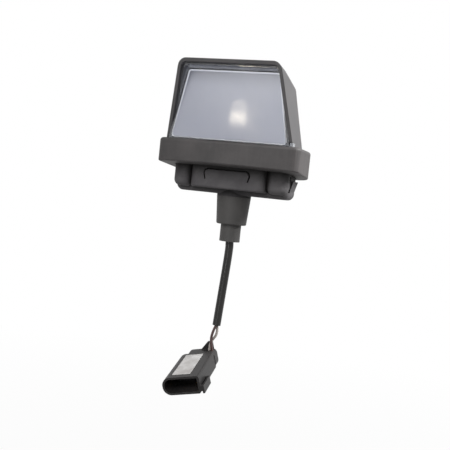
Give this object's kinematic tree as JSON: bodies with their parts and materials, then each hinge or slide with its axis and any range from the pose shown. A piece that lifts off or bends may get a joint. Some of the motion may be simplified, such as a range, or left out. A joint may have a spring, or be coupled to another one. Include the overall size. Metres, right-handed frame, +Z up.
{
  "type": "tail lamp",
  "caption": "Hooded rear lamp with a recessed frosted lens on a thick rubber mounting pad, with snap-in base, cable boot, short cable and plug socket.",
  "frame": {"origin": "on the cable boot's axis, in the plane where the wedge-shaped rubber pad sits on the panel", "axes": "+Z up along the boot's axis, 5 degrees off the panel's normal, the lens faces -Y, +X to the right seen from the lens side"},
  "size_m": [0.09, 0.0563, 0.2006],
  "materials": {
    "housing_plastic": "fine-grained dark grey moulding",
    "pad_rubber": "matt dark grey rubber",
    "boot_rubber": "matt dark grey rubber",
    "clear_lens": "polished clear plastic",
    "frosted_lens": "frosted clear plastic",
    "white_reflector": "smooth white moulding",
    "holder_plastic": "black moulding",
    "seal_rubber": "soft black rubber",
    "contact_brass": "stamped brass strip",
    "bulb_glass": "clear bulb glass",
    "filament_wire": "fine drawn wire",
    "cable_jacket": "smooth dark cable jacket",
    "brown_insulation": "brown insulation",
    "grey_insulation": "grey-white insulation",
    "connector_plastic": "dark grey moulding",
    "label_paper": "blank pale sticker"
  },
  "bodies": {
    "root": {"mounting_pad": "pad_rubber", "lamp_base": "housing_plastic", "hood": "housing_plastic", "lens_frame": "clear_lens", "lens_window": "frosted_lens", "reflector": "white_reflector", "bulb_holder": "holder_plastic", "holder_seal": "seal_rubber", "contact_live": "contact_brass", "contact_ground": "contact_brass", "bulb_glass": "bulb_glass", "bulb_filament": "filament_wire", "cable_boot": "boot_rubber", "cable_sleeve": "boot_rubber", "lead_live": "grey_insulation", "lead_ground": "brown_insulation", "cable_sheath": "cable_jacket", "wire_live": "grey_insulation", "wire_ground": "brown_insulation", "connector_shell": "connector_plastic", "connector_cover": "connector_plastic", "terminal_live": "contact_brass", "terminal_ground": "contact_brass", "interface_seal": "seal_rubber", "connector_label": "label_paper"}
  },
  "joints": []
}
